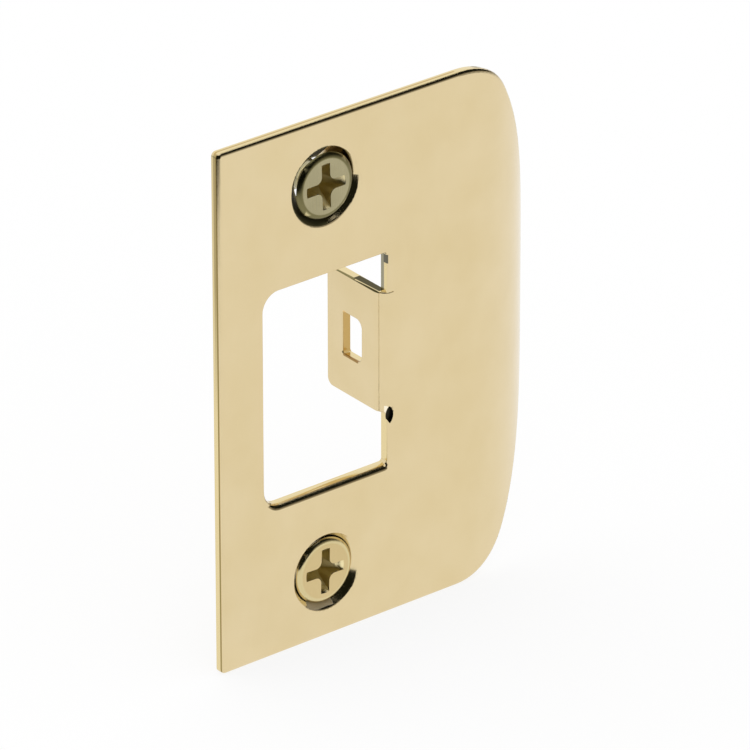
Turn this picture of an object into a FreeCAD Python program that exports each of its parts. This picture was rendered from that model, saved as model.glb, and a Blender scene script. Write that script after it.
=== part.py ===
import FreeCAD, Part

import math
import os

# Full-lip door strike plate with its two flat-head screws. Millimetres.
# +X runs from the plain edge towards the lip, +Y runs back into the jamb, +Z is up.
# The origin is half way between the two screw holes, on the plate's back face.

# Sheet and outline
sheet = 1.0                     # thickness of the stamped sheet
plate_height = 57.15            # 2 1/4 in
overall_width = 44.45           # 1 3/4 in, plain edge to the lip's free edge
plain_corner_radius = 0.5
outer_roll = 0.42               # rounding of the front edge all round the outline

# Lip, curved backwards about an upright axis
lip_width = 13.85               # seen from the front, bend line to free edge
lip_radius = 17.8               # of the front surface
lip_corner_radius = 9.2         # of the blank, measured along the sheet

# Latch opening
hole_line = 13.44               # plain edge to the upright line through the screw holes and the opening
opening_width = 15.85
opening_height = 23.45
opening_plain_corner = 2.0      # corners on the plain-edge side
opening_lip_corner = 0.35       # corners on the lip side
opening_roll = 0.15             # rounding of the front edge at the opening's sides and top
opening_lower_roll = 0.7        # the same along its bottom

# Tab folded back from the opening's lip-side edge
tab_height = 13.35
tab_offset = 0.57               # tab centre above the plate centre
tab_length = 7.76               # flat part, beyond the fold
tab_fold_radius = 0.39          # inside the fold
tab_fold_angle = 92.5           # turn from the plate's face
tab_fold_overlap = 0.8          # how far past the opening's edge the fold starts, its rolled edge or more
tab_corner_radius = 0.85
tab_roll = 0.15                 # rounding of the tab's edges on the opening side

# Lens-shaped relief notch in the front face at the tab's lower root
relief_height = 1.9             # point to point
relief_width = 0.85
relief_from_edge = 0.34         # notch centre beyond the opening's edge
relief_below_tab = 0.26         # notch centre below the tab's lower edge
relief_depth = 0.35

# Slot in the tab
slot_width = 3.15
slot_height = 4.7
slot_from_fold = 2.06           # end of the fold to the slot's near edge
slot_root_corner = 0.9          # corners nearest the fold
slot_free_corner = 0.3

# Screw holes, dimpled to take flat heads
screw_from_end = 7.25           # screw centre to the plate's top or bottom edge
head_angle = 82.0               # included angle of the screw heads
dimple_angle = 88.0             # included angle of the dimples, so a head bears on the inner end
dimple_rim_radius = 0.35
dimple_back_radius = 0.5        # in the corner behind the rim
dimple_depth = 1.85             # front face to the inner edge of the pierced hole
seat_gap = 0.02                 # between the lower head's cone and the dimple's inner end
seat_depth = 0.2                # front face to the top of a fully seated head

# Screws, number 8 cross-recess flat head
screw_length = 12.7             # 1/2 in, head top to point
head_diameter = 7.1
head_flat_diameter = 5.9        # flat top inside the rounded rim
head_rim_drop = 0.35            # head top to the widest point
neck_diameter = 3.2
neck_end = 3.4                  # head top to the start of the thread
thread_diameter = 4.17
point_length = 4.0
point_flat = 0.3                # diameter at the very tip
upper_head_lift = 0.4          # how far the upper screw stands off its seat

# Cross recess
recess_diameter = 4.95
recess_depth = 2.3
recess_floor_diameter = 1.6
recess_wing = 1.05              # width of each wing
recess_corner = 0.7             # rounding between wings
upper_turn = -1.5               # degrees clockwise, seen from the front
lower_turn = 1.5

V = FreeCAD.Vector
BACK = V(0, 1, 0)
UP = V(0, 0, 1)

front = -sheet                  # Y of the plate's front face
plain_edge = -hole_line
bend_line = plain_edge + overall_width - lip_width
half_height = plate_height / 2
lip_axis = V(bend_line, front + lip_radius, 0)
lip_middle_radius = lip_radius - sheet / 2
lip_reach = lip_middle_radius * math.asin(lip_width / lip_radius)
screw_z = half_height - screw_from_end
half_head = math.radians(head_angle / 2)
half_dimple = math.radians(dimple_angle / 2)


def near(a, b):
    return abs(a - b) < 1e-4


def rounded_face(corners, radii):
    """Flat face through the corners, each rounded by its own radius."""
    starts = []
    ends = []
    arcs = []
    for i, corner in enumerate(corners):
        to_last = (corners[i - 1] - corner).normalize()
        to_next = (corners[(i + 1) % len(corners)] - corner).normalize()
        half = to_last.getAngle(to_next) / 2
        reach = radii[i] / math.tan(half)
        crown = radii[i] / math.sin(half) - radii[i]
        starts.append(corner + to_last * reach)
        ends.append(corner + to_next * reach)
        middle = corner + (to_last + to_next).normalize() * crown
        arcs.append(Part.Arc(starts[i], middle, ends[i]).toShape())
    edges = []
    for i, arc in enumerate(arcs):
        edges.append(arc)
        edges.append(Part.makeLine(ends[i], starts[(i + 1) % len(starts)]))
    return Part.Face(Part.Wire(edges))


def box(x_range, y_range, z_range):
    """Box between pairs of limits."""
    sizes = [high - low for low, high in (x_range, y_range, z_range)]
    return Part.makeBox(*sizes, V(x_range[0], y_range[0], z_range[0]))


def on_lip(along, z, radius):
    """Point of the lip on the cylinder of this radius. along runs from the bend line, on the flat blank."""
    turn = along / lip_middle_radius
    return lip_axis + V(math.sin(turn), -math.cos(turn), 0) * radius + UP * z


def wrapped_arc(centre_along, centre_z, size, start, stop, radius):
    """Arc of the flat blank, clockwise from start to stop, wrapped round the lip at this radius."""
    steps = 24
    stretch = radius / lip_middle_radius
    points = []
    tangents = []
    for i in range(steps + 1):
        angle = start + (stop - start) * i / steps
        along = centre_along + size * math.cos(angle)
        turn = along / lip_middle_radius
        sideways = math.sin(angle) * stretch
        points.append(on_lip(along, centre_z + size * math.sin(angle), radius))
        tangents.append(V(sideways * math.cos(turn), sideways * math.sin(turn), -math.cos(angle)))
    curve = Part.BSplineCurve()
    curve.interpolate(Points=points, Tangents=tangents, TangentFlags=[True] * len(points))
    return curve.toShape()


def lip_outline(radius):
    """The lip's outline at this radius: top corner, shallow end tangent to both corners, bottom corner."""
    corner_z = half_height - lip_corner_radius
    shallow = lip_reach - lip_corner_radius
    end_radius = (lip_reach ** 2 + corner_z ** 2 - lip_corner_radius ** 2) / (2 * shallow)
    end_centre = lip_reach - end_radius
    meet = math.atan2(corner_z, -end_centre)
    quarter = math.pi / 2
    return [
        wrapped_arc(0, corner_z, lip_corner_radius, quarter, meet, radius),
        wrapped_arc(end_centre, 0, end_radius, meet, -meet, radius),
        wrapped_arc(0, -corner_z, lip_corner_radius, -meet, -quarter, radius),
    ]


def bent_strip():
    """Sheet in plan, flat and then curved back, at full height and longer than the lip."""
    long = lip_reach + sheet
    outer = [on_lip(along, 0, lip_radius) for along in (0, long / 2, long)]
    inner = [on_lip(along, 0, lip_radius - sheet) for along in (long, long / 2, 0)]
    back_corner = V(plain_edge, 0, 0)
    front_corner = V(plain_edge, front, 0)
    outline = [
        Part.makeLine(back_corner, front_corner),
        Part.makeLine(front_corner, outer[0]),
        Part.Arc(*outer).toShape(),
        Part.makeLine(outer[2], inner[0]),
        Part.Arc(*inner).toShape(),
        Part.makeLine(inner[2], back_corner),
    ]
    profile = Part.Face(Part.Wire(outline))
    profile.translate(V(0, 0, -half_height))
    return profile.extrude(UP * plate_height)


def on_front(point):
    """True for a point on the front surface, flat part or lip."""
    if point.x < bend_line + 1e-4:
        return near(point.y, front)
    return near(V(point.x, point.y, 0).distanceToPoint(lip_axis), lip_radius)


def front_edges(shape):
    """Edges that lie on the front surface, without the seam along the bend line."""
    found = []
    for edge in shape.Edges:
        middle = edge.valueAt((edge.FirstParameter + edge.LastParameter) / 2)
        points = [middle] + [vertex.Point for vertex in edge.Vertexes]
        seam = all(near(point.x, bend_line) for point in points)
        if not seam and all(on_front(point) for point in points):
            found.append(edge)
    return found


def blank():
    """Plate and lip, without holes, its front edge rounded all round."""
    walls = []
    for outer, inner in zip(lip_outline(lip_radius + sheet), lip_outline(lip_radius - 2 * sheet)):
        walls.append(Part.makeRuledSurface(outer, inner))
    pieces, _ = bent_strip().generalFuse(walls)
    whole = max(pieces.Solids, key=lambda solid: solid.Volume)
    corners = []
    for edge in whole.Edges:
        middle = edge.CenterOfMass
        if near(middle.x, plain_edge) and near(middle.y, front / 2):
            corners.append(edge)
    whole = whole.makeFillet(plain_corner_radius, corners)
    return whole.makeFillet(outer_roll, front_edges(whole))


def opening_cutter():
    """Latch opening, square through the sheet."""
    left = -opening_width / 2
    right = opening_width / 2
    top = opening_height / 2
    corners = [V(left, 0, -top), V(right, 0, -top), V(right, 0, top), V(left, 0, top)]
    radii = [opening_plain_corner, opening_lip_corner, opening_lip_corner, opening_plain_corner]
    return rounded_face(corners, radii).extrude(BACK * -sheet)


def tab_frame():
    """The fold's axis, and the directions out of the tab on its opening side and along it to its end."""
    turn = math.radians(tab_fold_angle)
    axis = V(opening_width / 2 + tab_fold_overlap, front + sheet + tab_fold_radius, 0)
    out = V(-math.sin(turn), -math.cos(turn), 0)
    along = V(-math.cos(turn), math.sin(turn), 0)
    return axis, out, along


def tab_profile():
    """Fold and tab in plan."""
    axis, out, along = tab_frame()
    forward = V(0, -1, 0)
    half_out = (forward + out).normalize()
    outer = [axis + way * (tab_fold_radius + sheet) for way in (forward, half_out, out)]
    inner = [axis + way * tab_fold_radius for way in (out, half_out, forward)]
    outline = [
        Part.Arc(*outer).toShape(),
        Part.makeLine(outer[2], outer[2] + along * tab_length),
        Part.makeLine(outer[2] + along * tab_length, inner[0] + along * tab_length),
        Part.makeLine(inner[0] + along * tab_length, inner[0]),
        Part.Arc(*inner).toShape(),
        Part.makeLine(inner[2], outer[0]),
    ]
    return Part.Face(Part.Wire(outline))


def tab():
    """Folded tab with its slot, its edges rounded on the opening side."""
    axis, out, along = tab_frame()
    profile = tab_profile()
    profile.translate(V(0, 0, tab_offset - tab_height / 2))
    folded = profile.extrude(UP * tab_height)
    corners = []
    for edge in folded.Edges:
        across = near(abs(edge.tangentAt(edge.FirstParameter).dot(out)), 1)
        if across and near((edge.CenterOfMass - axis).dot(along), tab_length):
            corners.append(edge)
    folded = folded.makeFillet(tab_corner_radius, corners).cut(slot_cutter())
    rim = []
    for edge in folded.Edges:
        depths = [(vertex.Point - axis).dot(out) - tab_fold_radius - sheet for vertex in edge.Vertexes]
        fold_end = near((edge.CenterOfMass - axis).dot(along), 0)
        if all(near(depth, 0) for depth in depths) and not fold_end:
            rim.append(edge)
    return folded.makeFillet(tab_roll, rim)


def slot_cutter():
    """Slot through the tab, with larger corners nearest the fold."""
    axis, out, along = tab_frame()
    base = axis + V(0, 0, tab_offset)
    near_edge = base + along * slot_from_fold
    far_edge = near_edge + along * slot_width
    half = UP * (slot_height / 2)
    corners = [near_edge - half, far_edge - half, far_edge + half, near_edge + half]
    radii = [slot_root_corner, slot_free_corner, slot_free_corner, slot_root_corner]
    return rounded_face(corners, radii).extrude(out * (sheet + 2 * tab_fold_radius))


def fold_clearance():
    """What the fold takes out of the flat sheet beside the opening."""
    edge = opening_width / 2
    bottom = tab_offset - tab_height / 2
    return box((edge - tab_fold_overlap, edge + tab_fold_overlap), (front, 0), (bottom, bottom + tab_height))


def relief_cutter():
    """Lens of the relief notch, from the front face into the sheet."""
    centre = V(opening_width / 2 + relief_from_edge, front, tab_offset - tab_height / 2 - relief_below_tab)
    point = UP * (relief_height / 2)
    side = V(relief_width / 2, 0, 0)
    arcs = [Part.Arc(centre + point, centre + side, centre - point).toShape(),
            Part.Arc(centre - point, centre - side, centre + point).toShape()]
    return Part.Face(Part.Wire(arcs)).extrude(BACK * relief_depth)


def cone_radius(depth, top):
    """Radius of a seated head's cone at a depth below the front face, where its head top is at top."""
    return head_diameter / 2 - (depth - top - head_rim_drop) * math.tan(half_head)


def dimple_radius(depth):
    """Radius of the dimple's front surface at a depth below the front face."""
    inner_end = cone_radius(dimple_depth, seat_depth) + seat_gap / math.cos(half_head)
    return inner_end + (dimple_depth - depth) * math.tan(half_dimple)


def turned(points):
    """Solid turned about the Y axis from radius and depth pairs. Depth is below the plate's front face."""
    corners = [V(radius, front + depth, 0) for radius, depth in points]
    face = Part.Face(Part.makePolygon(corners + corners[:1]))
    return face.revolve(V(0, 0, 0), BACK, 360)


def dimple_back_edge():
    """Radius where the dimple's back meets the plate's back face."""
    behind = sheet * math.cos(half_dimple)
    deeper = sheet * math.sin(half_dimple)
    return dimple_radius(dimple_depth) + behind + (dimple_depth + deeper - sheet) * math.tan(half_dimple)


def dimple():
    """Cone of sheet round one screw hole, out to the edge of the disc that it replaces."""
    low = dimple_radius(dimple_depth)
    low_back = low + sheet * math.cos(half_dimple)
    depth_back = dimple_depth + sheet * math.sin(half_dimple)
    edge = dimple_back_edge() + sheet
    return turned([(dimple_radius(0), 0), (low, dimple_depth), (low_back, depth_back),
                   (dimple_back_edge(), sheet), (edge, sheet), (edge, 0)])


def plate_with_dimples(plate):
    for z in (screw_z, -screw_z):
        ring = dimple()
        ring.translate(V(0, 0, z))
        disc = Part.makeCylinder(dimple_back_edge() + sheet, sheet, V(0, front, z), BACK)
        plate = plate.cut(disc).fuse(ring).removeSplitter()
    return plate


def circles_at(shape, depth, radius):
    """Round edges about the screw holes at this depth below the front face, of this radius."""
    found = []
    for edge in shape.Edges:
        curve = edge.Curve
        if curve.TypeId != "Part::GeomCircle":
            continue
        if near(curve.Radius, radius) and near(curve.Center.y, front + depth):
            found.append(edge)
    return found


def opening_edges(shape):
    """Front edges of the latch opening."""
    found = []
    for edge in front_edges(shape):
        limits = edge.BoundBox
        inside_x = max(-limits.XMin, limits.XMax) < opening_width / 2 + 1e-3
        inside_z = max(-limits.ZMin, limits.ZMax) < opening_height / 2 + 1e-3
        if inside_x and inside_z:
            found.append(edge)
    return found


def opening_roll_at(point):
    """Rounding of the opening's front edge at one end of an edge."""
    if near(point.z, -opening_height / 2):
        return opening_lower_roll
    return opening_roll


def roll_opening(plate):
    """Rounds the opening's front edges. In the lower corners the rounding grows from one size to the other."""
    sizes = []
    wanted = opening_edges(plate)
    for number, edge in enumerate(plate.Edges, 1):
        if any(edge.isSame(other) for other in wanted):
            ends = [edge.valueAt(edge.FirstParameter), edge.valueAt(edge.LastParameter)]
            sizes.append((number, opening_roll_at(ends[0]), opening_roll_at(ends[1])))
    document = FreeCAD.newDocument("opening")
    base = document.addObject("Part::Feature", "base")
    base.Shape = plate
    rolled = document.addObject("Part::Fillet", "rolled")
    rolled.Base = base
    rolled.Edges = sizes
    document.recompute()
    return rolled.Shape.copy()


def strike_plate():
    """The finished sheet: outline, opening, dimples, tab and relief notch, in that order."""
    plate = roll_opening(blank().cut(opening_cutter()))
    plate = plate_with_dimples(plate)
    plate = plate.makeFillet(dimple_rim_radius, circles_at(plate, 0, dimple_radius(0)))
    plate = plate.makeFillet(dimple_back_radius, circles_at(plate, sheet, dimple_back_edge()))
    plate = plate.cut(fold_clearance()).fuse(tab()).removeSplitter()
    return plate.cut(relief_cutter())


def recess(turn):
    """Cross recess of a screw whose head top is at Y 0, turned about the screw's axis."""
    half = recess_wing / 2
    long = recess_diameter / 2
    corners = []
    for quarter in range(4):
        spin = FreeCAD.Rotation(BACK, 90 * quarter)
        for x, z in ((long, half), (long, -half), (half, -half)):
            corners.append(spin.multVec(V(x, 0, z)))
    outline = Part.Face(Part.makePolygon(corners + corners[:1]))
    cross = outline.extrude(BACK * recess_depth)
    inner = []
    for edge in cross.Edges:
        place = edge.CenterOfMass
        if near(abs(place.x), half) and near(abs(place.z), half):
            inner.append(edge)
    cross = cross.makeFillet(recess_corner, inner)
    taper = Part.makeCone(recess_diameter / 2, recess_floor_diameter / 2, recess_depth, V(0, 0, 0), BACK)
    cross = cross.common(taper)
    cross.rotate(V(0, 0, 0), BACK, turn)
    return cross


def screw(head_depth, z, turn):
    """One screw, its head top at a depth below the plate's front face."""
    flat = head_flat_diameter / 2
    rim = head_diameter / 2
    neck = neck_diameter / 2
    head_end = head_rim_drop + (rim - neck) / math.tan(half_head)
    width = rim - flat
    rim_radius = (width ** 2 + head_rim_drop ** 2) / (2 * head_rim_drop)
    half_angle = math.asin(width / rim_radius) / 2
    rim_middle = V(flat + rim_radius * math.sin(half_angle), rim_radius * (1 - math.cos(half_angle)), 0)
    rim_arc = Part.Arc(V(flat, 0, 0), rim_middle, V(rim, head_rim_drop, 0)).toShape()
    outline = [V(rim, head_rim_drop, 0), V(neck, head_end, 0), V(neck, neck_end, 0),
               V(thread_diameter / 2, neck_end, 0), V(thread_diameter / 2, screw_length - point_length, 0),
               V(point_flat / 2, screw_length, 0), V(0, screw_length, 0), V(0, 0, 0), V(flat, 0, 0)]
    edges = [rim_arc] + [Part.makeLine(a, b) for a, b in zip(outline, outline[1:])]
    body = Part.Face(Part.Wire(edges)).revolve(V(0, 0, 0), BACK, 360)
    body = body.cut(recess(turn))
    body.translate(V(0, front + head_depth, z))
    return body


os.makedirs("parts", exist_ok=True)
strike_plate().exportStep("parts/strike_plate.step")
screw(seat_depth - upper_head_lift, screw_z, upper_turn).exportStep("parts/screw_upper.step")
screw(seat_depth, -screw_z, lower_turn).exportStep("parts/screw_lower.step")
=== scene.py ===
"""Full-lip brass strike plate with its two flat-head screws, standing on a white studio floor.

Lengths are in millimetres in the constants and in metres everywhere else.
+X runs towards the curved lip, +Y back into the door jamb, +Z up. The origin is on the plate's back face.
"""
import math

import bmesh
import bpy
from mathutils import Matrix, Vector


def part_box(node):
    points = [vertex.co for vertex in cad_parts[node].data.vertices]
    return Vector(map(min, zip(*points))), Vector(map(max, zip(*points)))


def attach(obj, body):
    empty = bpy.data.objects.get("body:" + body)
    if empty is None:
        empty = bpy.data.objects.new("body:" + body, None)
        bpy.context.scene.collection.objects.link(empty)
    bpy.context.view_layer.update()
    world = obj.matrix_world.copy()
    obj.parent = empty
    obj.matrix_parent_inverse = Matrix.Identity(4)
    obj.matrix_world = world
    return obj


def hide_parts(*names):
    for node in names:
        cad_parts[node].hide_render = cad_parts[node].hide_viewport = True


MM = 0.001
SAME_POINT = 0.001                      # corners nearer than this are merged
PLATE_HEIGHT = 57.15                    # as in the CAD

# Patches of the plate with another finish, or with painted light or shade: low corner and high corner of a
# box
NOTCH = ((7.8, -0.97, -7.35), (8.76, -0.6, -5.38))
# painted shade along the tab's upper edge and in front of it; the edge is also rough
SHADED_TAB_EDGE = ((7.62, -0.1, 7.15), (8.4, 3.9, 7.3))
SHADED_TAB_EDGE_FRONT = ((7.3, -0.4, 7.1), (7.47, 6.4, 7.3))
SHADED_TAB_EDGE_FRONT_END = ((7.44, 3.6, 7.1), (7.66, 7.6, 7.3))
WALL_BREAK = ((7.8, -0.45, 7.4), (8.0, 0.02, 11.5))
# painted shade on the opening's upper wall, below its corner
WALL_SHADE_PATCH = ((7.8, -1.1, 10.5), (8.02, -0.45, 11.4))
SLOT_END = ((7.3, 5.15, -1.5), (8.4, 5.5, 3.0))
SLOT_LOWER_RIM = ((7.3, 3.1, -1.9), (7.72, 5.5, -1.74))
PLAIN_EDGE_BURR = ((-13.5, -0.76, -28.7), (-13.35, -0.66, 28.7))
PLAIN_EDGE_SHADE = ((-13.5, -0.7, -28.7), (-13.3, -0.35, 28.7))
PLAIN_EDGE_SHADE_RISE = (0.0, 14.0)     # height over which that shade comes in
FRACTURE_LINE = ((-13.3, -0.42, 28.4), (17.0, -0.3, 28.7))
# rough patch on the upper dimple's wall, darkened with painted shade
UPPER_WALL_DULL_SHADE = ((-4.4, -0.94, 17.0), (0.4, 1.3, 26.0))
# rough patch on the lower dimple's wall, lightened with a painted reflection
ROUGH_REFLECTION_PATCH = ((-2.3, -0.88, -25.3), (0.9, -0.1, -24.3))
LOWER_ROLL = ((-7.9, -1.05, -12.5), (7.9, -0.2, -11.6))
LOWER_ROLL_TILT = 0.25                  # how much flatter the die roll is than an arc
PUNCHED_WALLS = (((-13.6, -1.1, -28.7), (-13.2, 0.02, 28.7)),
                 ((7.8, -1.1, -12.0), (8.2, 0.02, -6.4)),
                 ((7.8, -1.1, 7.3), (8.2, 0.02, 12.0)))
NOTCH_SHADE = (9.17, -0.65, -6.53)      # middle of a ball inside which the notch is painted dark, as painted shade
NOTCH_SHADE_RADIUS = 1.19
NOTCH_GLINT = (7.85, -0.65, -5.75)      # middle of a ball inside which the notch is painted bright, as a painted highlight
NOTCH_GLINT_RADIUS = 0.42

# Grain of the metals
NOISE_LOW = 0.3                         # most of a noise pattern lies between these
NOISE_HIGH = 0.7
TONE_PATCH = 7.0                        # size of the slow changes of tone
POLISH_STRETCH = 0.06                   # width of an upright polishing line, as a share of its length
PLATE_POLISH_LINE = 0.12
SCREW_POLISH_LINE = 0.09
PLATE_PEEL = 1.6                        # size of the faint waves in the plate's lacquer
SCREW_DENT = 0.5                        # size of the knocks from barrel plating
RELIEF_DEPTH = 0.02

# Camera, solved from the photograph's edges
CAMERA_AZIMUTH = -39.5275
CAMERA_ELEVATION = 26.0618
CAMERA_ROLL = -0.0817
CAMERA_DISTANCE = 843.53
CAMERA_TARGET = (6.3175, -1.0, -1.313)
FOCAL_PIXELS = 8450
IMAGE_PIXELS = 750
SENSOR_WIDTH = 36.0

# Studio. Azimuths and elevations in degrees, azimuth 0 straight ahead of the plate's face, + towards the lip
FLOOR_SIZE = 3000.0
FLOOR_GAP = 0.03                # under the plate's lower edge
FLOOR_SHADE = 0.17              # how much of the object's shadow the camera sees on the white floor
POOL_CENTRE = (50.0, -50.0)     # brightest part of the painted pool of light on the floor, in mirrors
POOL_RADIUS = 130.0
POOL_FADE = 420.0               # beyond this the floor is at its darkest
POOL_EDGE_LEVEL = 0.45
CARD_BLACK = "1C1E18"
CARD_GREY = "B5B0A6"
NEAR_CARD_RADIUS = 125.0        # black card standing on the floor beside the camera
NEAR_CARD_SPAN = (-100.0, 12.0)
NEAR_CARD_HIGH = 59.0           # elevation of its top edge
FAR_CARD_RADIUS = 700.0         # grey to black card beyond the lip side, above the horizon
FAR_CARD_SPAN = (12.0, 112.0)
FAR_CARD_HIGH = 56.0            # elevation of its top edge
FAR_CARD_FALL = (103.0, 112.0)  # azimuths over which that edge falls
FAR_CARD_LOW = 25.0             # elevation of that edge at the end of the fall
FAR_CARD_BLACK = 27.0           # elevation above which its front end is black
FAR_CARD_SIDE_BLACK = 4.0       # the same, straight beside the lip and behind it
FAR_CARD_SINK = (-0.7, 0.05)    # Y over which the black sinks from the one to the other, in radii
CARD_COLUMNS = 64
NEAR_CARD_ROWS = 1
FAR_CARD_ROWS = 12

# Screws. Depths are from the head's top
SCREW_Z = 21.325
SCREW_LENGTH = 12.7
UPPER_HEAD_TOP = -1.2
LOWER_HEAD_TOP = -0.8
HEAD_FLAT_RADIUS = 2.9
RECESS_RADIUS = 2.5
RECESS_DEPTHS = (0.12, 2.6)     # between which the recess has its own finish
PAINTED_HIGHLIGHT_DEPTH = 0.6            # middle of the painted highlight at the end of a wing
PAINTED_HIGHLIGHT_RADIUS = 0.5
NECK_CUT = 2.9                  # where the turned head gives way to the rolled thread
THREAD_OVERLAP = 0.05           # how far the thread's blank reaches into the neck
CREASE = 28.0                   # degrees, sharper edges stay sharp
CORE_RADIUS = 1.52
CREST_RADIUS = 2.08
TIP_RADIUS = 0.14
POINT_LENGTH = 4.0
PITCH = 1.7
RIDGE_SHARE = 0.42              # how much of the pitch the ridge's foot covers
THREAD_COLUMNS = 65
THREAD_ROWS = 151


def linear(code):
    """sRGB hex to linear red, green, blue, alpha."""
    channels = [int(code[i:i + 2], 16) / 255 for i in (0, 2, 4)]
    return [c / 12.92 if c <= 0.04045 else ((c + 0.055) / 1.055) ** 2.4 for c in channels] + [1.0]


def add(tree, kind, settings=None, **inputs):
    """One node with its settings.

    An input is named, or numbered after an underscore. It takes a value, or another node's output socket.
    """
    node = tree.nodes.new(kind)
    for name, value in (settings or {}).items():
        setattr(node, name, value)
    for name, value in inputs.items():
        key = int(name[1:]) if name[0] == "_" else name.replace("_", " ")
        socket = node.inputs[key]
        if isinstance(value, bpy.types.NodeSocket):
            tree.links.new(value, socket)
        else:
            socket.default_value = value
    return node


def link_object(name, mesh):
    piece = bpy.data.objects.new(name, mesh)
    bpy.context.scene.collection.objects.link(piece)
    return piece


def new_material(name):
    material = bpy.data.materials.new(name)
    material.use_nodes = True
    material.node_tree.nodes.clear()
    return material, material.node_tree


# Where on the object a finish lies

def arithmetic(tree, operation, *values):
    numbered = {f"_{place}": value for place, value in enumerate(values)}
    return add(tree, "ShaderNodeMath", {"operation": operation}, **numbered).outputs[0]


def axes_of(tree, vector):
    return add(tree, "ShaderNodeSeparateXYZ", Vector=vector).outputs


def rising(tree, value, low, high):
    """0 up to low, 1 from high on."""
    return add(tree, "ShaderNodeMapRange", Value=value, From_Min=low, From_Max=high).outputs["Result"]


def falling(tree, value, low, high):
    """1 up to low, 0 from high on."""
    step = add(tree, "ShaderNodeMapRange", Value=value, From_Min=low, From_Max=high, To_Min=1.0, To_Max=0.0)
    return step.outputs["Result"]


def inside_box(tree, place, low, high, soft=0.1):
    """1 inside a box given in millimetres, fading to 0 outside it."""
    axes = axes_of(tree, place)
    found = 1.0
    for axis in range(3):
        past_low = rising(tree, axes[axis], (low[axis] - soft) * MM, low[axis] * MM)
        before_high = falling(tree, axes[axis], high[axis] * MM, (high[axis] + soft) * MM)
        here = arithmetic(tree, "MULTIPLY", past_low, before_high)
        found = arithmetic(tree, "MULTIPLY", found, here)
    return found


def inside_ball(tree, place, centre, radius, soft=0.05):
    """1 inside a ball given in millimetres, fading to 0 outside it."""
    away = add(tree, "ShaderNodeVectorMath", {"operation": "DISTANCE"}, _0=place, _1=Vector(centre) * MM)
    return falling(tree, away.outputs["Value"], radius * MM, (radius + soft) * MM)


# Metal finishes

def tinted(tree, colour, code, where):
    mix = add(tree, "ShaderNodeMix", {"data_type": "RGBA"}, _0=where, _6=colour, _7=linear(code))
    return mix.outputs[2]


def metal_pattern(tree, dark, light, rough_low, rough_high, line_width):
    """Slow changes of tone, and fine upright polishing lines that only touch the roughness."""
    place = add(tree, "ShaderNodeTexCoord").outputs["Object"]
    cloud = add(tree, "ShaderNodeTexNoise", Vector=place, Scale=1 / (TONE_PATCH * MM), Detail=3.0,
                Roughness=0.55)
    tone = add(tree, "ShaderNodeValToRGB", Fac=cloud.outputs["Fac"])
    tone.color_ramp.elements[0].position = NOISE_LOW
    tone.color_ramp.elements[1].position = NOISE_HIGH
    tone.color_ramp.elements[0].color = linear(dark)
    tone.color_ramp.elements[1].color = linear(light)
    lines = add(tree, "ShaderNodeMapping", Vector=place, Scale=(1.0, 1.0, POLISH_STRETCH))
    grit = add(tree, "ShaderNodeTexNoise", Vector=lines.outputs["Vector"], Scale=1 / (line_width * MM),
               Detail=2.0)
    rough = add(tree, "ShaderNodeMapRange", Value=grit.outputs["Fac"], From_Min=NOISE_LOW,
                From_Max=NOISE_HIGH, To_Min=rough_low, To_Max=rough_high)
    return place, tone.outputs["Color"], rough.outputs["Result"]


def metal_surface(tree, colour, rough, height, strength, below=None):
    """Metal with a shallow relief, over the relief whose normal is given as below."""
    wave = add(tree, "ShaderNodeBump", Strength=strength, Distance=RELIEF_DEPTH * MM, Height=height)
    if below:
        tree.links.new(below, wave.inputs["Normal"])
    surface = add(tree, "ShaderNodeBsdfPrincipled", Base_Color=colour, Roughness=rough, Metallic=1.0,
                  Normal=wave.outputs["Normal"])
    add(tree, "ShaderNodeOutputMaterial", Surface=surface.outputs["BSDF"])


def facing_of(tree):
    """Parts of the surface's own normal."""
    return axes_of(tree, add(tree, "ShaderNodeNewGeometry").outputs["Normal"])


def sheared_walls(tree, place):
    """1 on the narrow sheared walls of the sheet, 0 on its faces."""
    facing = facing_of(tree)
    level_walls = rising(tree, arithmetic(tree, "ABSOLUTE", facing["Z"]), 0.8, 0.92)
    side_walls = rising(tree, arithmetic(tree, "ABSOLUTE", facing["X"]), 0.91, 0.96)
    punched = 0.0
    for low, high in PUNCHED_WALLS:
        punched = arithmetic(tree, "MAXIMUM", punched, inside_box(tree, place, low, high))
    return arithmetic(tree, "MAXIMUM", level_walls, arithmetic(tree, "MULTIPLY", side_walls, punched))


def flattened_roll(tree, place):
    """Normal of the die roll under the opening, which is flatter and wider than an arc."""
    axes = axes_of(tree, place)
    along = arithmetic(tree, "MULTIPLY_ADD", axes["Y"], 0.5, axes["Z"])
    height = arithmetic(tree, "MULTIPLY", along, -LOWER_ROLL_TILT)
    tilt = add(tree, "ShaderNodeBump", Strength=1.0, Distance=1.0, Height=height)
    plain = add(tree, "ShaderNodeNewGeometry").outputs["Normal"]
    inclined = rising(tree, axes_of(tree, plain)["Z"], 0.01, 0.05)
    here = arithmetic(tree, "MULTIPLY", inclined, inside_box(tree, place, *LOWER_ROLL, soft=0.02))
    mix = add(tree, "ShaderNodeMix", {"data_type": "VECTOR"}, _0=here, _4=plain, _5=tilt.outputs["Normal"])
    return mix.outputs[1]


def plain_edge_shade(tree, place):
    """1 on the upper part of the plain edge's wall, which is darkened there with painted shade."""
    low, high = PLAIN_EDGE_SHADE_RISE
    upper = rising(tree, axes_of(tree, place)["Z"], low * MM, high * MM)
    return arithmetic(tree, "MULTIPLY", upper, inside_box(tree, place, *PLAIN_EDGE_SHADE, soft=0.12))


def dull_shaded_dimple_wall(tree, place):
    """1 on the upper dimple's wall, which is rough and darkened with painted shade, and 0 on the back of the
    sheet behind it.
    """
    front = falling(tree, facing_of(tree)["Y"], -0.2, -0.1)
    return arithmetic(tree, "MULTIPLY", inside_box(tree, place, *UPPER_WALL_DULL_SHADE, soft=0.05), front)


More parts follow.
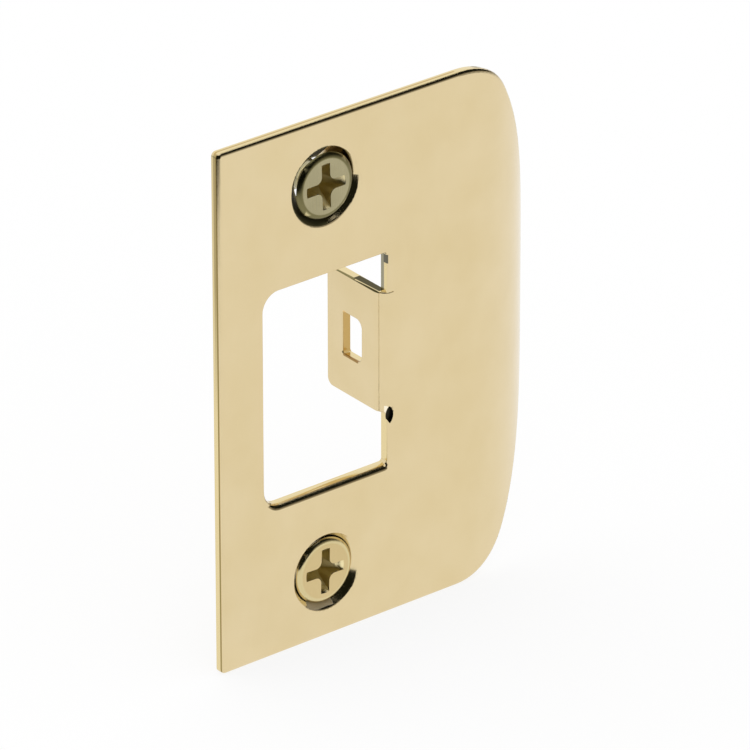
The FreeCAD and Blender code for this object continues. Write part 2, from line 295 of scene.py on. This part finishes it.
def notch_parts(tree, place):
    """Painted shade of the relief notch's dark inside, and the notch's painted highlight."""
    notch = inside_box(tree, place, *NOTCH, soft=0.03)
    shade = arithmetic(tree, "MULTIPLY", notch, inside_ball(tree, place, NOTCH_SHADE, NOTCH_SHADE_RADIUS))
    glint = arithmetic(tree, "MULTIPLY", notch, inside_ball(tree, place, NOTCH_GLINT, NOTCH_GLINT_RADIUS))
    return shade, glint


def rough_shaded_tab_edge(tree, place, walls):
    """1 on the tab's upper edge, which is rough and painted dark as shade, and on the painted shade in front
    of it.
    """
    edge = arithmetic(tree, "MULTIPLY", inside_box(tree, place, *SHADED_TAB_EDGE, soft=0.06), walls)
    return arithmetic(tree, "MAXIMUM", edge, inside_box(tree, place, *SHADED_TAB_EDGE_FRONT, soft=0.04))


def polished_plate_material():
    """Brass-plated steel, stamped, polished and lacquered: a pale clear gold that mirrors softly.

    The sheared walls are plated but not polished. The relief notch and the tab's upper edge are rough, and
    painted dark brown as shade. Where patches overlap, the later one is on top.
    """
    material, tree = new_material("brass_plated_steel_polished")
    place, colour, rough = metal_pattern(tree, "DFCB9E", "E3D0A6", 0.12, 0.18, PLATE_POLISH_LINE)
    walls = sheared_walls(tree, place)
    shade, glint = notch_parts(tree, place)
    rough_shaded_edge = rough_shaded_tab_edge(tree, place, walls)
    rough_reflection_patch = inside_box(tree, place, *ROUGH_REFLECTION_PATCH, soft=0.08)
    dull_shaded_wall = dull_shaded_dimple_wall(tree, place)
    patches = (
        (walls, "E6D3A0"),
        (inside_box(tree, place, *SLOT_END), "FCD282"),
        (inside_box(tree, place, *SLOT_LOWER_RIM, soft=0.08), "A58450"),
        # painted shade along the front of the tab's upper edge, towards its end
        (inside_box(tree, place, *SHADED_TAB_EDGE_FRONT_END, soft=0.04), "8A8055"),
        # painted highlight in the relief notch
        (glint, "FFF4DA"),
        # painted shade on the tab's upper edge, which is also rough
        (rough_shaded_edge, "57502F"),
        # painted shade inside the relief notch
        (shade, "38352A"),
        (inside_box(tree, place, *WALL_BREAK, soft=0.05), "9C9780"),
        # painted shade on the opening's upper wall
        (inside_box(tree, place, *WALL_SHADE_PATCH, soft=0.05), "6A6758"),
        (plain_edge_shade(tree, place), "B5A270"),
        (inside_box(tree, place, *PLAIN_EDGE_BURR, soft=0.06), "9A8652"),
        (inside_box(tree, place, *FRACTURE_LINE, soft=0.08), "C4A668"),
        # painted reflection on the lower dimple's wall
        (rough_reflection_patch, "FFF4DA"),
        # painted shade on the upper dimple's wall
        (dull_shaded_wall, "8E8862"),
    )
    for where, code in patches:
        colour = tinted(tree, colour, code, where)
    for where, least in ((rough_shaded_edge, 0.5), (shade, 0.5), (rough_reflection_patch, 0.9), (dull_shaded_wall, 0.6)):
        rough = arithmetic(tree, "MAXIMUM", rough, arithmetic(tree, "MULTIPLY", where, least))
    peel = add(tree, "ShaderNodeTexNoise", Vector=place, Scale=1 / (PLATE_PEEL * MM), Detail=1.0)
    metal_surface(tree, colour, rough, peel.outputs["Fac"], 0.02, flattened_roll(tree, place))
    return material


def recess_parts(tree, place, centre_z, head_top):
    """The cross recess, and the painted highlights on the two ends of its wings."""
    start, end = RECESS_DEPTHS
    low = (-RECESS_RADIUS, head_top + start, centre_z - RECESS_RADIUS)
    high = (RECESS_RADIUS, head_top + end, centre_z + RECESS_RADIUS)
    recess = inside_box(tree, place, low, high)
    painted_highlight = 0.0
    for along, up in ((RECESS_RADIUS, 0.0), (0.0, -RECESS_RADIUS)):
        wing_end = (along, head_top + PAINTED_HIGHLIGHT_DEPTH, centre_z + up)
        end_highlight = inside_ball(tree, place, wing_end, PAINTED_HIGHLIGHT_RADIUS, soft=0.3)
        painted_highlight = arithmetic(tree, "MAXIMUM", painted_highlight, end_highlight)
    return recess, painted_highlight


def screw_material(name, dark, light, rim, roughness, centre_z, head_top):
    """Brass-plated steel, cold headed and barrel plated: duller than the plate, and matt in its recess."""
    material, tree = new_material(name)
    place, colour, rough = metal_pattern(tree, dark, light, roughness, roughness + 0.08, SCREW_POLISH_LINE)
    level = add(tree, "ShaderNodeVectorMath", {"operation": "MULTIPLY"}, _0=place, _1=(1.0, 0.0, 1.0))
    on_flat = inside_ball(tree, level.outputs[0], (0.0, 0.0, centre_z), HEAD_FLAT_RADIUS, soft=0.12)
    colour = tinted(tree, colour, rim, arithmetic(tree, "SUBTRACT", 1.0, on_flat))
    recess, painted_highlight = recess_parts(tree, place, centre_z, head_top)
    colour = tinted(tree, colour, "E2D4A1", recess)
    # painted highlight on the ends of the recess's wings
    colour = tinted(tree, colour, "F3E4B2", arithmetic(tree, "MULTIPLY", painted_highlight, recess))
    dull = arithmetic(tree, "MULTIPLY", recess, arithmetic(tree, "SUBTRACT", 1.0, painted_highlight))
    rough = arithmetic(tree, "MAXIMUM", rough, arithmetic(tree, "MULTIPLY", dull, 0.5))
    dents = add(tree, "ShaderNodeTexNoise", Vector=place, Scale=1 / (SCREW_DENT * MM), Detail=2.0)
    metal_surface(tree, colour, rough, dents.outputs["Fac"], 0.06)
    return material


# Studio finishes

def floor_material():
    """Matt white paper. Mirrors see it glowing with a painted pool of light that fades away from its centre,
    the camera sees it white with a faint shadow.
    """
    material, tree = new_material("paper_white_matt")
    path = add(tree, "ShaderNodeLightPath").outputs
    place = add(tree, "ShaderNodeTexCoord").outputs["Object"]
    centre = Vector((*POOL_CENTRE, -PLATE_HEIGHT / 2)) * MM
    away = add(tree, "ShaderNodeVectorMath", {"operation": "DISTANCE"}, _0=place, _1=centre)
    pool = add(tree, "ShaderNodeMapRange", Value=away.outputs["Value"], From_Min=POOL_RADIUS * MM,
               From_Max=POOL_FADE * MM, To_Min=1.0, To_Max=POOL_EDGE_LEVEL)
    level = arithmetic(tree, "MAXIMUM", path["Is Camera Ray"], pool.outputs["Result"])
    paper = add(tree, "ShaderNodeBsdfDiffuse", Color=linear("FFFFFF"))
    white = add(tree, "ShaderNodeEmission", Color=linear("FFFFFF"), Strength=level)
    seen = arithmetic(tree, "MULTIPLY", path["Is Camera Ray"], 1 - FLOOR_SHADE)
    mirrored = arithmetic(tree, "MAXIMUM", path["Is Glossy Ray"], path["Is Transmission Ray"])
    plain = arithmetic(tree, "MAXIMUM", seen, mirrored)
    mix = add(tree, "ShaderNodeMixShader", _0=plain, _1=paper.outputs[0], _2=white.outputs[0])
    add(tree, "ShaderNodeOutputMaterial", Surface=mix.outputs[0])
    return material


def near_card_material():
    """Black card: it gives the screw holes their dark crescents."""
    material, tree = new_material("card_black_matt")
    black = add(tree, "ShaderNodeEmission", Color=linear(CARD_BLACK), Strength=1.0)
    add(tree, "ShaderNodeOutputMaterial", Surface=black.outputs[0])
    return material


def far_card_material():
    """Card sprayed from grey at the bottom to black: it gives the rolled edges their dark lines."""
    material, tree = new_material("card_grey_to_black_matt")
    axes = axes_of(tree, add(tree, "ShaderNodeTexCoord").outputs["Object"])
    radius = FAR_CARD_RADIUS * MM
    front_black = math.sin(math.radians(FAR_CARD_BLACK)) * radius
    side_black = math.sin(math.radians(FAR_CARD_SIDE_BLACK)) * radius
    front, side = FAR_CARD_SINK
    black_from = add(tree, "ShaderNodeMapRange", Value=axes["Y"], From_Min=front * radius,
                     From_Max=side * radius, To_Min=front_black, To_Max=side_black)
    rise = arithmetic(tree, "DIVIDE", axes["Z"], black_from.outputs["Result"])
    shade = add(tree, "ShaderNodeValToRGB", Fac=rise)
    shade.color_ramp.elements[0].color = linear(CARD_GREY)
    shade.color_ramp.elements[1].color = linear(CARD_BLACK)
    spray = add(tree, "ShaderNodeEmission", Color=shade.outputs["Color"], Strength=1.0)
    add(tree, "ShaderNodeOutputMaterial", Surface=spray.outputs[0])
    return material


# Screws

def thread_tree(material):
    """Geometry Nodes: a sheet of points rolled into a closed tapering shank with a spiral ridge."""
    tree = bpy.data.node_groups.new("screw_thread", "GeometryNodeTree")
    sizes = ("Length", "Core Radius", "Crest Radius", "Tip Radius", "Point Length", "Pitch", "Ridge Share",
             "Start")
    for name in sizes:
        tree.interface.new_socket(name, in_out="INPUT", socket_type="NodeSocketFloat")
    tree.interface.new_socket("Geometry", in_out="OUTPUT", socket_type="NodeSocketGeometry")
    given = add(tree, "NodeGroupInput").outputs

    def work(operation, *values):
        return arithmetic(tree, operation, *values)

    grid = add(tree, "GeometryNodeMeshGrid", Size_X=1.0, Size_Y=1.0, Vertices_X=THREAD_COLUMNS,
               Vertices_Y=THREAD_ROWS)
    place = axes_of(tree, add(tree, "GeometryNodeInputPosition").outputs[0])
    around = work("ADD", place["X"], 0.5)
    share = work("ADD", place["Y"], 0.5)
    along = work("MULTIPLY", share, given["Length"])
    left = work("SUBTRACT", given["Length"], along)
    taper = work("MINIMUM", work("DIVIDE", left, given["Point Length"]), 1.0)
    core = work("MULTIPLY", taper, given["Core Radius"])
    swell = work("SUBTRACT", given["Crest Radius"], given["Tip Radius"])
    crest = work("MULTIPLY_ADD", taper, swell, given["Tip Radius"])
    spiral = work("FRACT", work("SUBTRACT", work("DIVIDE", along, given["Pitch"]), around))
    off_ridge = work("ABSOLUTE", work("MULTIPLY_ADD", spiral, 2.0, -1.0))
    ridge = work("MAXIMUM", work("SUBTRACT", 1.0, work("DIVIDE", off_ridge, given["Ridge Share"])), 0.0)
    begun = work("MINIMUM", work("DIVIDE", along, given["Pitch"]), 1.0)
    height = work("MULTIPLY", work("SUBTRACT", crest, core), work("MULTIPLY", ridge, begun))
    # 0 on the first and the last row, which close the ends
    off_ends = work("MULTIPLY", work("GREATER_THAN", share, 0.001), work("LESS_THAN", share, 0.999))
    radius = work("MULTIPLY", work("ADD", core, height), off_ends)
    turn = work("MULTIPLY", around, 2 * math.pi)
    moved = add(tree, "ShaderNodeCombineXYZ", X=work("MULTIPLY", radius, work("COSINE", turn)),
                Y=work("ADD", along, given["Start"]), Z=work("MULTIPLY", radius, work("SINE", turn)))
    rolled = add(tree, "GeometryNodeSetPosition", Geometry=grid.outputs["Mesh"], Position=moved.outputs[0])
    closed = add(tree, "GeometryNodeMergeByDistance", Geometry=rolled.outputs[0], Distance=SAME_POINT * MM)
    smooth = add(tree, "GeometryNodeSetShadeSmooth", Geometry=closed.outputs[0])
    real = add(tree, "GeometryNodeRealizeInstances", Geometry=smooth.outputs[0])
    finish = add(tree, "GeometryNodeSetMaterial", Geometry=real.outputs[0], Material=material)
    add(tree, "NodeGroupOutput", Geometry=finish.outputs[0])
    return tree


def thread_mesh(start, material):
    """Rolled thread and point of one screw, from the neck back. start is its Y in metres."""
    holder = link_object("thread_holder", bpy.data.meshes.new("thread_holder"))
    tree = thread_tree(material)
    modifier = holder.modifiers.new("thread", "NODES")
    modifier.node_group = tree
    values = {
        "Length": (SCREW_LENGTH - NECK_CUT) * MM,
        "Core Radius": CORE_RADIUS * MM,
        "Crest Radius": CREST_RADIUS * MM,
        "Tip Radius": TIP_RADIUS * MM,
        "Point Length": POINT_LENGTH * MM,
        "Pitch": PITCH * MM,
        "Ridge Share": RIDGE_SHARE,
        "Start": start,
    }
    for item in tree.interface.items_tree:
        if item.in_out == "INPUT":
            modifier[item.identifier] = values[item.name]
    evaluated = holder.evaluated_get(bpy.context.evaluated_depsgraph_get())
    mesh = bpy.data.meshes.new_from_object(evaluated)
    bpy.data.objects.remove(holder)
    return mesh


def head_mesh(name, cad_mesh, cut):
    """The CAD screw up to the cut, closed there, with its real edges kept sharp."""
    shape = bmesh.new()
    shape.from_mesh(cad_mesh)
    bmesh.ops.remove_doubles(shape, verts=shape.verts, dist=SAME_POINT * MM)
    everything = shape.verts[:] + shape.edges[:] + shape.faces[:]
    bmesh.ops.bisect_plane(shape, geom=everything, plane_co=(0, cut, 0), plane_no=(0, 1, 0),
                           clear_outer=True)
    rim = [edge for edge in shape.edges if edge.is_boundary]
    bmesh.ops.holes_fill(shape, edges=rim)
    for edge in shape.edges:
        edge.smooth = len(edge.link_faces) == 2 and edge.calc_face_angle(0.0) < math.radians(CREASE)
    for face in shape.faces:
        face.smooth = True
    head = bpy.data.meshes.new(name)
    shape.to_mesh(head)
    shape.free()
    return head


def join_thread(head, thread):
    """Joins the thread's closed body to the head's, in the head's mesh."""
    shape = bmesh.new()
    shape.from_mesh(thread)
    bmesh.ops.recalc_face_normals(shape, faces=shape.faces)
    shape.from_mesh(head)
    shape.to_mesh(head)
    shape.free()


def screw_piece(node, name, material):
    """One screw in place of its CAD node: the CAD head and recess, and a real rolled thread."""
    low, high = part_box(node.name)
    cut = low.y + NECK_CUT * MM
    mesh = head_mesh(name, node.data, cut)
    thread = thread_mesh(cut - THREAD_OVERLAP * MM, material)
    thread.transform(Matrix.Translation(((low.x + high.x) / 2, 0, (low.z + high.z) / 2)))
    join_thread(mesh, thread)
    mesh.materials.clear()
    mesh.materials.append(material)
    piece = link_object(name, mesh)
    weighted = piece.modifiers.new("even_shading", "WEIGHTED_NORMAL")
    weighted.keep_sharp = True
    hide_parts(node.name)
    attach(piece, "root")


# Studio

def make_floor():
    half = FLOOR_SIZE / 2 * MM
    z = -(PLATE_HEIGHT / 2 + FLOOR_GAP) * MM
    corners = [(-half, -half, z), (half, -half, z), (half, half, z), (-half, half, z)]
    mesh = bpy.data.meshes.new("floor")
    mesh.from_pydata(corners, [], [(0, 1, 2, 3)])
    mesh.materials.append(floor_material())
    floor = link_object("floor", mesh)


def show_to_mirrors_only(card):
    card.visible_camera = False
    card.visible_diffuse = False
    card.visible_shadow = False
    card.visible_transmission = False


def make_card(name, span, rows, point_at, material):
    """Card curved round the object.

    point_at gives its distance from the upright axis and its height, for an azimuth and a share of the card's
    own height.
    """
    points = []
    faces = []
    for row in range(rows + 1):
        for column in range(CARD_COLUMNS + 1):
            azimuth = span[0] + (span[1] - span[0]) * column / CARD_COLUMNS
            level, height = point_at(azimuth, row / rows)
            turn = math.radians(azimuth)
            points.append(Vector((level * math.sin(turn), -level * math.cos(turn), height)) * MM)
    for row in range(rows):
        for column in range(CARD_COLUMNS):
            corner = row * (CARD_COLUMNS + 1) + column
            above = corner + CARD_COLUMNS + 1
            faces.append((corner, above, above + 1, corner + 1))
    mesh = bpy.data.meshes.new(name)
    mesh.from_pydata(points, [], faces)
    mesh.materials.append(material)
    card = link_object(name, mesh)
    show_to_mirrors_only(card)


def near_card_point(azimuth, share):
    """Upright, with a level top edge: the same at every azimuth."""
    bottom = -PLATE_HEIGHT / 2
    top = NEAR_CARD_RADIUS * math.tan(math.radians(NEAR_CARD_HIGH))
    return NEAR_CARD_RADIUS, bottom + (top - bottom) * share


def far_card_point(azimuth, share):
    """Part of a dome, with a top edge that falls at its far end."""
    start, end = FAR_CARD_FALL
    fallen = max(0.0, (azimuth - start) / (end - start))
    top = FAR_CARD_HIGH + (FAR_CARD_LOW - FAR_CARD_HIGH) * fallen
    elevation = math.radians(top * share)
    return FAR_CARD_RADIUS * math.cos(elevation), FAR_CARD_RADIUS * math.sin(elevation)


def make_cards():
    make_card("near_card", NEAR_CARD_SPAN, NEAR_CARD_ROWS, near_card_point, near_card_material())
    make_card("far_card", FAR_CARD_SPAN, FAR_CARD_ROWS, far_card_point, far_card_material())


def make_world():
    world = bpy.data.worlds.new("white_studio")
    world.use_nodes = True
    tree = world.node_tree
    tree.nodes.clear()
    light = add(tree, "ShaderNodeBackground", Color=linear("FFFFFF"), Strength=1.0)
    add(tree, "ShaderNodeOutputWorld", Surface=light.outputs[0])
    bpy.context.scene.world = world


def make_camera():
    azimuth = math.radians(CAMERA_AZIMUTH)
    elevation = math.radians(CAMERA_ELEVATION)
    roll = math.radians(CAMERA_ROLL)
    level = math.cos(elevation)
    back = Vector((math.sin(azimuth) * level, -math.cos(azimuth) * level, math.sin(elevation)))
    side = Vector((math.cos(azimuth), math.sin(azimuth), 0))
    up = back.cross(side)
    right = side * math.cos(roll) + up * math.sin(roll)
    top = up * math.cos(roll) - side * math.sin(roll)
    data = bpy.data.cameras.new("camera")
    data.sensor_width = SENSOR_WIDTH
    data.lens = FOCAL_PIXELS / IMAGE_PIXELS * SENSOR_WIDTH
    data.clip_start = 0.01
    data.clip_end = 10.0
    camera = link_object("camera", data)
    turn = Matrix((right, top, back)).transposed().to_4x4()
    stand = Vector(CAMERA_TARGET) * MM + back * CAMERA_DISTANCE * MM
    camera.matrix_world = Matrix.Translation(stand) @ turn
    bpy.context.scene.camera = camera


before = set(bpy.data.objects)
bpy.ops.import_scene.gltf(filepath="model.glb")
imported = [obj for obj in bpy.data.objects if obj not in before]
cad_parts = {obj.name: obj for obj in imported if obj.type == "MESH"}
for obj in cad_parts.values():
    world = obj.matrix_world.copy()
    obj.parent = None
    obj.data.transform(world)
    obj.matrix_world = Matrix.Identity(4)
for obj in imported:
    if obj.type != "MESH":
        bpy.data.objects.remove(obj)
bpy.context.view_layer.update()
bpy.context.scene.view_settings.view_transform = "Standard"

make_camera()
make_world()
make_floor()
make_cards()

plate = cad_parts["strike_plate"]
plate.material_slots[0].material = polished_plate_material()
worn_brass = screw_material("brass_plated_steel_worn", "A39B78", "B5AC88", "7D7650", 0.26, SCREW_Z,
                            UPPER_HEAD_TOP)
bright_brass = screw_material("brass_plated_steel_bright", "CFB985", "D8C291", "D8C897", 0.14, -SCREW_Z,
                              LOWER_HEAD_TOP)
screw_piece(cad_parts["screw_upper"], "screw_upper_threaded", worn_brass)
screw_piece(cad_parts["screw_lower"], "screw_lower_threaded", bright_brass)
